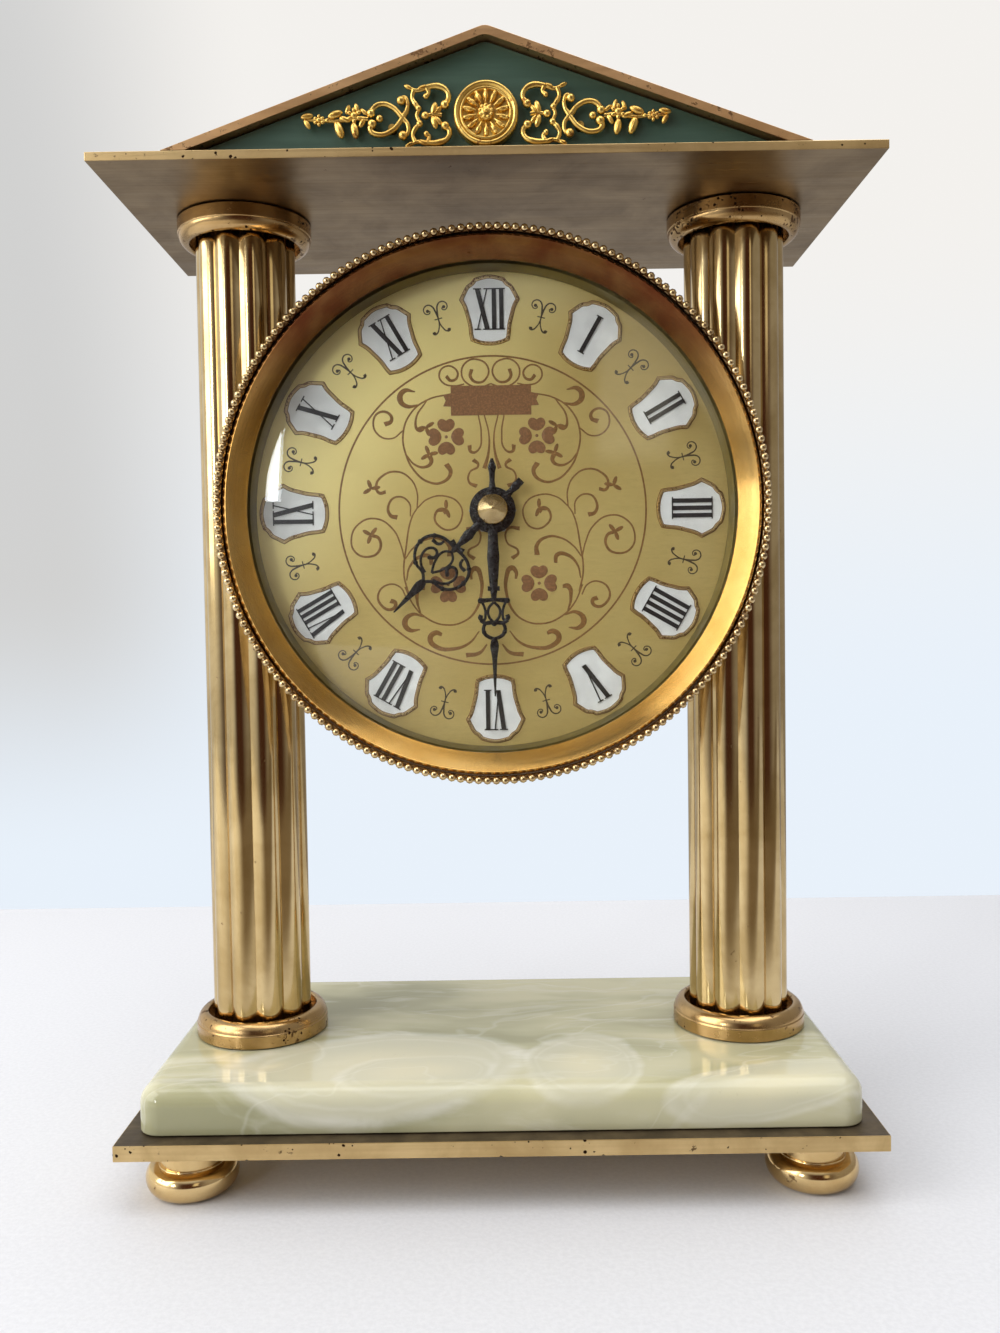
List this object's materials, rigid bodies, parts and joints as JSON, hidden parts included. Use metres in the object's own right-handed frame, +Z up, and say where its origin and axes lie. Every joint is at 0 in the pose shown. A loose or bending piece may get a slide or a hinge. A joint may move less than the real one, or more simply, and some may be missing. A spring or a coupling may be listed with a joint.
{
  "type": "mantel clock",
  "caption": "Portico mantel clock: round dial head with beaded bezel held between ribbed brass columns, gabled top, onyx base on bun feet.",
  "frame": {"origin": "middle of the footprint, on the surface that the feet stand on", "axes": "+Z up, -Y towards the dial's front, +X to the viewer's right"},
  "size_m": [0.17, 0.083, 0.2533],
  "materials": {
    "polished_brass": "polished",
    "brushed_brass": "satin",
    "bezel_brass": "satin",
    "edge_brass": "satin",
    "pitted_brass": "satin",
    "cast_gilt": "satin",
    "steel": "satin",
    "onyx": "polished",
    "green_paint": "satin",
    "dark_lip": "satin",
    "dial_gold": "satin",
    "black_paint": "gloss",
    "glass": "polished",
    "black_plastic": "matte",
    "white_plastic": "matte",
    "copper": "satin",
    "board_green": "satin",
    "battery_wrap": "gloss"
  },
  "bodies": {
    "case": {"base_plate": "edge_brass", "base_ring_left": "pitted_brass", "base_ring_right": "pitted_brass", "battery": "battery_wrap", "battery_contact_negative": "steel", "battery_contact_positive": "steel", "beaded_rim": "polished_brass", "bezel": "bezel_brass", "capital_ring_left": "pitted_brass", "capital_ring_right": "pitted_brass", "case_screw_left": "steel", "case_screw_right": "steel", "case_spacer_left": "steel", "case_spacer_right": "steel", "circuit_board": "board_green", "coil": "copper", "column_left": "polished_brass", "column_right": "polished_brass", "cornice_plate": "brushed_brass", "dial_nut": "steel", "dial_plate": "dial_gold", "dial_surround": "dark_lip", "dome_glass": "glass", "foot_front_left": "polished_brass", "foot_front_right": "polished_brass", "foot_rear_left": "polished_brass", "foot_rear_right": "polished_brass", "head_case": "brushed_brass", "hinge_pin": "steel", "movement_front_shell": "black_plastic", "movement_rear_shell": "black_plastic", "onyx_base": "onyx", "ornament": "cast_gilt", "ornament_nut_left": "steel", "ornament_nut_right": "steel", "pediment_back_panel": "brushed_brass", "pediment_roof": "polished_brass", "quartz_crystal": "steel", "stator": "steel", "tie_rod_left": "steel", "tie_rod_nut_left": "steel", "tie_rod_nut_right": "steel", "tie_rod_right": "steel", "tie_rod_washer_left": "steel", "tie_rod_washer_right": "steel", "tympanum_panel": "green_paint"},
    "rear_door": {"rear_door": "brushed_brass", "door_knob": "polished_brass"},
    "minute_hand": {"minute_arbor": "steel", "minute_hand": "black_paint", "hand_nut": "polished_brass"},
    "hour_hand": {"hour_wheel": "white_plastic", "hour_hand": "black_paint"},
    "motion_wheel": {"motion_wheel": "white_plastic"},
    "setting_knob": {"setting_knob": "black_plastic"},
    "centre_wheel": {"centre_wheel": "white_plastic"},
    "third_wheel": {"third_wheel": "white_plastic"},
    "step_wheel": {"step_wheel": "white_plastic"},
    "rotor": {"rotor": "steel"}
  },
  "joints": [
    {"name": "rear_door_hinge", "type": "hinge", "parent": "case", "child": "rear_door", "pos_m": [-0.0484, 0.02, 0.1538], "axis": [0, 0, 1], "range_deg": [0, 110]},
    {"name": "minute_hand_turn", "type": "hinge", "parent": "case", "child": "minute_hand", "pos_m": [0, -0.0176, 0.1538], "axis": [0, 1, 0], "continuous": true},
    {"name": "hour_hand_turn", "type": "hinge", "parent": "case", "child": "hour_hand", "pos_m": [0, -0.0164, 0.1538], "axis": [0, 1, 0], "continuous": true},
    {"name": "motion_wheel_turn", "type": "hinge", "parent": "case", "child": "motion_wheel", "pos_m": [-0.01, -0.0094, 0.1538], "axis": [0, 1, 0], "continuous": true},
    {"name": "setting_knob_turn", "type": "hinge", "parent": "case", "child": "setting_knob", "pos_m": [-0.02057, -0.0094, 0.14995], "axis": [0, 1, 0], "continuous": true},
    {"name": "rotor_turn", "type": "hinge", "parent": "case", "child": "rotor", "pos_m": [0.00346, -0.0015, 0.16874], "axis": [0, 1, 0], "continuous": true},
    {"name": "step_wheel_turn", "type": "hinge", "parent": "case", "child": "step_wheel", "pos_m": [0.00946, -0.0043, 0.16874], "axis": [0, 1, 0], "continuous": true},
    {"name": "third_wheel_turn", "type": "hinge", "parent": "case", "child": "third_wheel", "pos_m": [0.01316, -0.0061, 0.15859], "axis": [0, 1, 0], "continuous": true},
    {"name": "centre_wheel_turn", "type": "hinge", "parent": "case", "child": "centre_wheel", "pos_m": [0, -0.0079, 0.1538], "axis": [0, 1, 0], "continuous": true}
  ],
  "couplings": [
    {"joint": "hour_hand_turn", "follows": "minute_hand_turn", "ratio": 0.083333},
    {"joint": "motion_wheel_turn", "follows": "minute_hand_turn", "ratio": -0.33333},
    {"joint": "setting_knob_turn", "follows": "minute_hand_turn", "ratio": 0.66667},
    {"joint": "step_wheel_turn", "follows": "rotor_turn", "ratio": -0.33333},
    {"joint": "third_wheel_turn", "follows": "rotor_turn", "ratio": 0.066667},
    {"joint": "centre_wheel_turn", "follows": "rotor_turn", "ratio": -0.011111}
  ]
}
